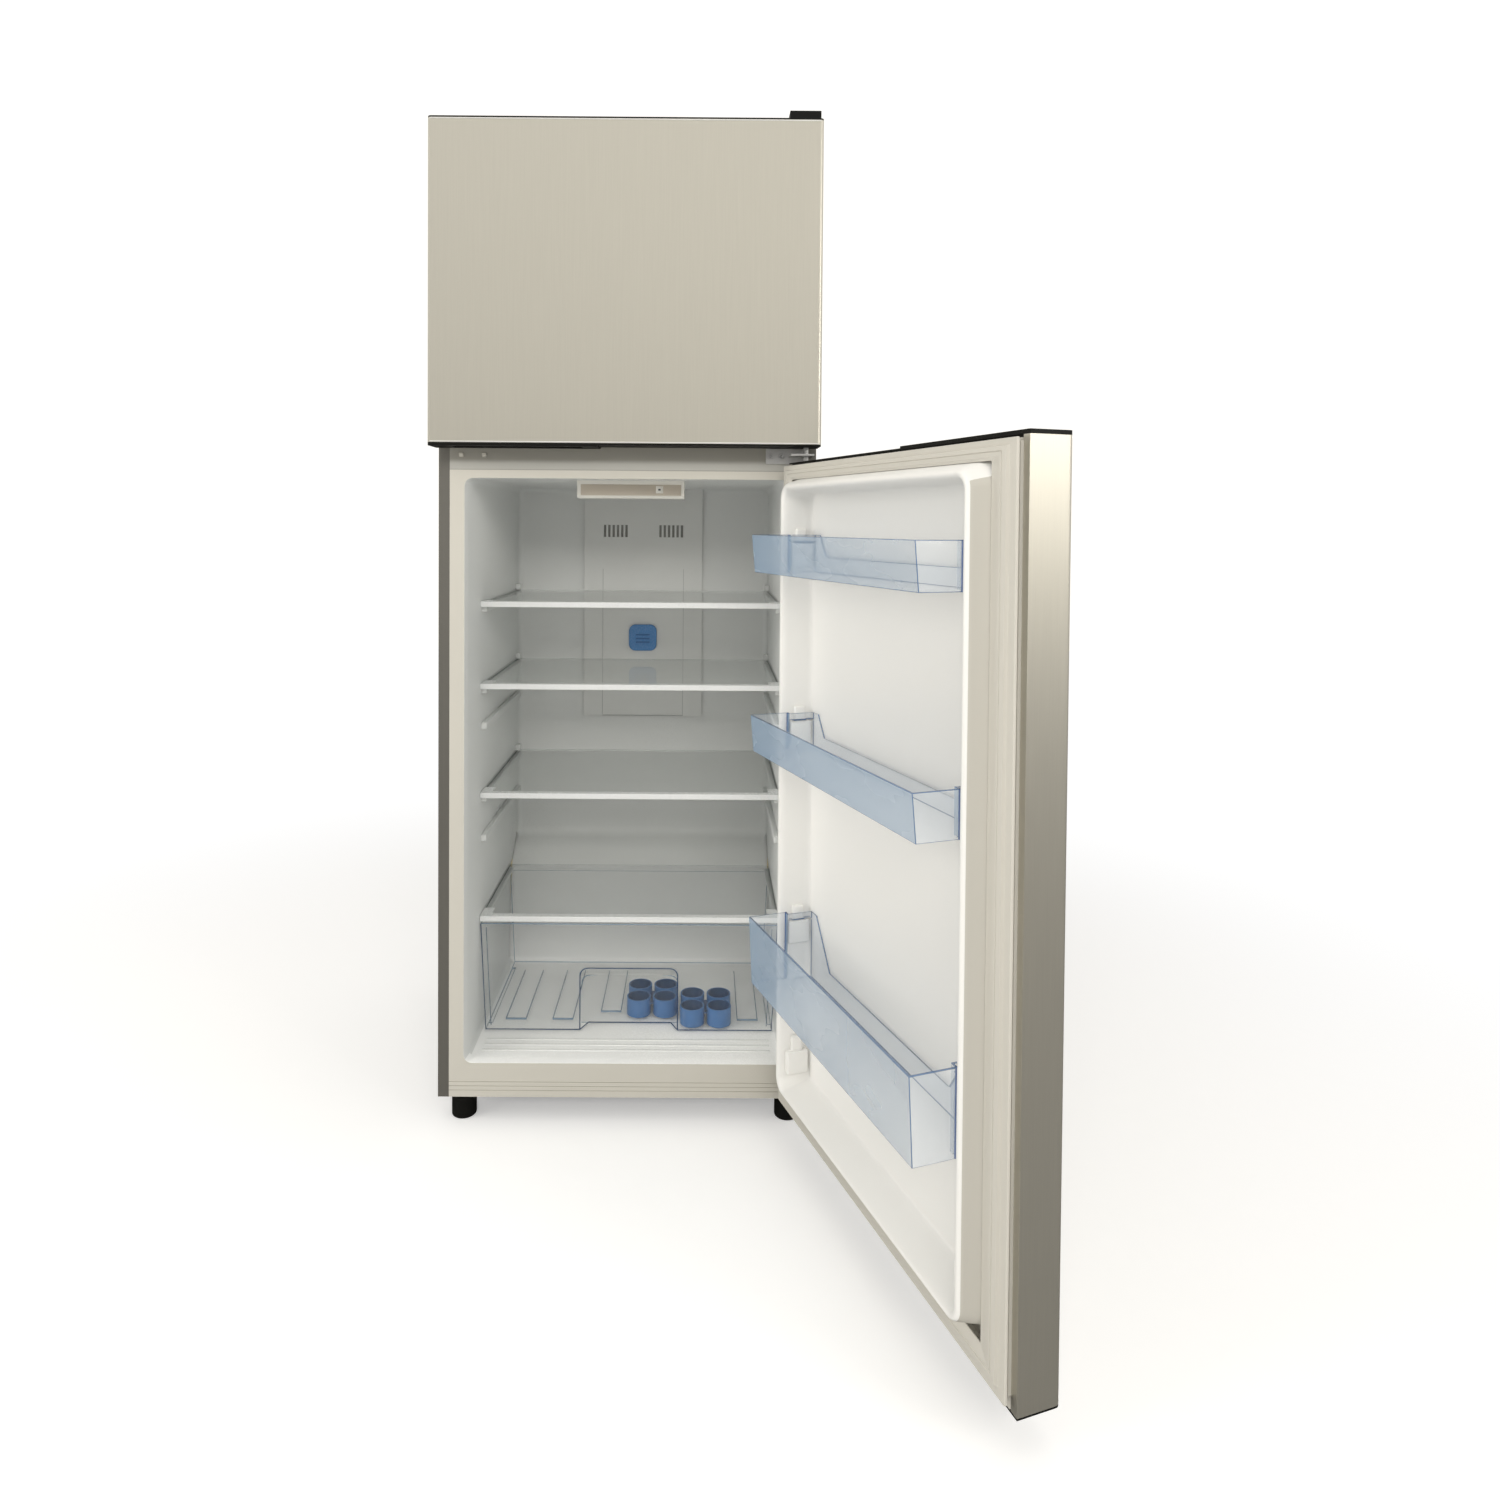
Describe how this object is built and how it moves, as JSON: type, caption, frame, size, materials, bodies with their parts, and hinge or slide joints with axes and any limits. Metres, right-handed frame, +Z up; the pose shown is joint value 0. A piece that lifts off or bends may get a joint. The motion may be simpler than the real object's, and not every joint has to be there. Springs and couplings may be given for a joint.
{
  "type": "fridge freezer",
  "caption": "Free-standing fridge freezer with a freezer above, hinged doors, glass shelves, a crisper drawer and lift-out door bins.",
  "frame": {"origin": "on the floor, under the middle of the casing", "axes": "+Z up, +X to the hinge side as seen from the front, +Y to the back"},
  "size_m": [0.8008, 1.1096, 1.602],
  "materials": {
    "casing": "satin paint",
    "door_silver": "brushed silver coating",
    "galvanised": "galvanised sheet",
    "black_plastic": "fine grain",
    "cream_plastic": "satin",
    "liner": "satin gloss",
    "door_liner": "satin gloss",
    "foam": "rigid foam",
    "gasket": "soft matt",
    "glass": "clear toughened",
    "white_trim": "gloss",
    "clear_drawer": "clear moulding",
    "blue_bin": "clear tinted moulding",
    "blue_cap": "gloss",
    "egg_blue": "tinted moulding",
    "lens": "frosted",
    "hinge_steel": "satin paint",
    "screws": "zinc plated",
    "compressor": "satin black",
    "rubber": "matt",
    "copper": "drawn copper",
    "condenser": "satin black",
    "aluminium": "bare",
    "heater": "bare"
  },
  "bodies": {
    "cabinet": {"outer_casing": "casing", "back_panel": "galvanised", "kick_plate": "cream_plastic", "divider_rail": "cream_plastic", "fridge_liner": "liner", "freezer_liner": "liner", "cabinet_foam": "foam", "base_pan": "galvanised", "air_duct_panel": "white_trim", "deodorizer_cap": "blue_cap", "lamp_housing": "cream_plastic", "lamp_lens": "lens", "freezer_shelf": "white_trim", "evaporator_cover": "white_trim", "evaporator": "aluminium", "defrost_heater": "heater", "fan_motor": "black_plastic", "compressor": "compressor", "compressor_mounts": "rubber", "condenser": "condenser", "refrigerant_pipes": "copper", "drip_tray": "black_plastic", "mains_gland": "black_plastic", "top_hinge": "hinge_steel", "top_hinge_cover": "black_plastic", "middle_hinge": "hinge_steel", "bottom_hinge": "hinge_steel", "hinge_screws": "screws"},
    "fridge_door": {"fridge_door_skin": "door_silver", "fridge_door_top_cap": "black_plastic", "fridge_door_bottom_cap": "black_plastic", "fridge_door_foam": "foam", "fridge_door_liner": "door_liner", "fridge_door_gasket": "gasket"},
    "freezer_door": {"freezer_door_skin": "door_silver", "freezer_door_top_cap": "black_plastic", "freezer_door_bottom_cap": "black_plastic", "freezer_door_foam": "foam", "freezer_door_liner": "door_liner", "freezer_door_gasket": "gasket"},
    "upper_bin": {"upper_bin": "blue_bin"},
    "middle_bin": {"middle_bin": "blue_bin"},
    "bottle_bin": {"bottle_bin": "blue_bin"},
    "freezer_upper_bin": {"freezer_upper_bin": "blue_bin"},
    "freezer_lower_bin": {"freezer_lower_bin": "blue_bin"},
    "upper_shelf": {"upper_shelf_trim": "white_trim", "upper_shelf_glass": "glass"},
    "middle_shelf": {"middle_shelf_trim": "white_trim", "middle_shelf_glass": "glass"},
    "lower_shelf": {"lower_shelf_trim": "white_trim", "lower_shelf_glass": "glass"},
    "crisper_cover": {"crisper_cover_trim": "white_trim", "crisper_cover_glass": "glass"},
    "crisper": {"crisper_drawer": "clear_drawer", "egg_tray": "egg_blue"},
    "button": {"temperature_button": "cream_plastic"},
    "fan": {"fan_blade": "white_trim"},
    "left_foot": {"foot_left": "black_plastic"},
    "right_foot": {"foot_right": "black_plastic"},
    "rollers": {"rear_rollers": "black_plastic"}
  },
  "joints": [
    {"name": "fridge_door_hinge", "type": "hinge", "parent": "cabinet", "child": "fridge_door", "pos_m": [0.28, -0.2875, 0.555], "axis": [0, 0, 1], "range_deg": [-109, 10]},
    {"name": "freezer_door_hinge", "type": "hinge", "parent": "cabinet", "child": "freezer_door", "pos_m": [0.28, -0.2875, 1.335], "axis": [0, 0, 1], "range_deg": [0, 119]},
    {"name": "upper_shelf_slide", "type": "slide", "parent": "cabinet", "child": "upper_shelf", "axis": [0, -1, 0], "range_m": [0, 0.115]},
    {"name": "middle_shelf_slide", "type": "slide", "parent": "cabinet", "child": "middle_shelf", "axis": [0, -1, 0], "range_m": [0, 0.115]},
    {"name": "lower_shelf_slide", "type": "slide", "parent": "cabinet", "child": "lower_shelf", "axis": [0, -1, 0], "range_m": [0, 0.115]},
    {"name": "crisper_cover_slide", "type": "slide", "parent": "cabinet", "child": "crisper_cover", "axis": [0, -1, 0], "range_m": [0, 0.115]},
    {"name": "crisper_slide", "type": "slide", "parent": "cabinet", "child": "crisper", "axis": [0, -1, 0], "range_m": [0, 0.115]},
    {"name": "upper_bin_lift", "type": "slide", "parent": "fridge_door", "child": "upper_bin", "axis": [0, 0, 1], "range_m": [0, 0.05]},
    {"name": "middle_bin_lift", "type": "slide", "parent": "fridge_door", "child": "middle_bin", "axis": [0, 0, 1], "range_m": [0, 0.05]},
    {"name": "bottle_bin_lift", "type": "slide", "parent": "fridge_door", "child": "bottle_bin", "axis": [0, 0, 1], "range_m": [0, 0.05]},
    {"name": "freezer_upper_bin_lift", "type": "slide", "parent": "freezer_door", "child": "freezer_upper_bin", "axis": [0, 0, 1], "range_m": [0, 0.05]},
    {"name": "freezer_lower_bin_lift", "type": "slide", "parent": "freezer_door", "child": "freezer_lower_bin", "axis": [0, 0, 1], "range_m": [0, 0.05]},
    {"name": "temperature_button_press", "type": "slide", "parent": "cabinet", "child": "button", "axis": [0, 1, 0], "range_m": [0, 0.0012], "stiffness_N_per_m": 900},
    {"name": "fan_spin", "type": "hinge", "parent": "cabinet", "child": "fan", "pos_m": [0, 0.15, 1.4464], "axis": [0, 1, 0], "continuous": true},
    {"name": "left_foot_turn", "type": "hinge", "parent": "cabinet", "child": "left_foot", "pos_m": [-0.264, -0.2225, 0.02], "axis": [0, 0, 1], "continuous": true},
    {"name": "right_foot_turn", "type": "hinge", "parent": "cabinet", "child": "right_foot", "pos_m": [0.264, -0.2225, 0.02], "axis": [0, 0, 1], "continuous": true},
    {"name": "rollers_turn", "type": "hinge", "parent": "cabinet", "child": "rollers", "pos_m": [0, 0.1925, 0.02], "axis": [1, 0, 0], "continuous": true}
  ]
}
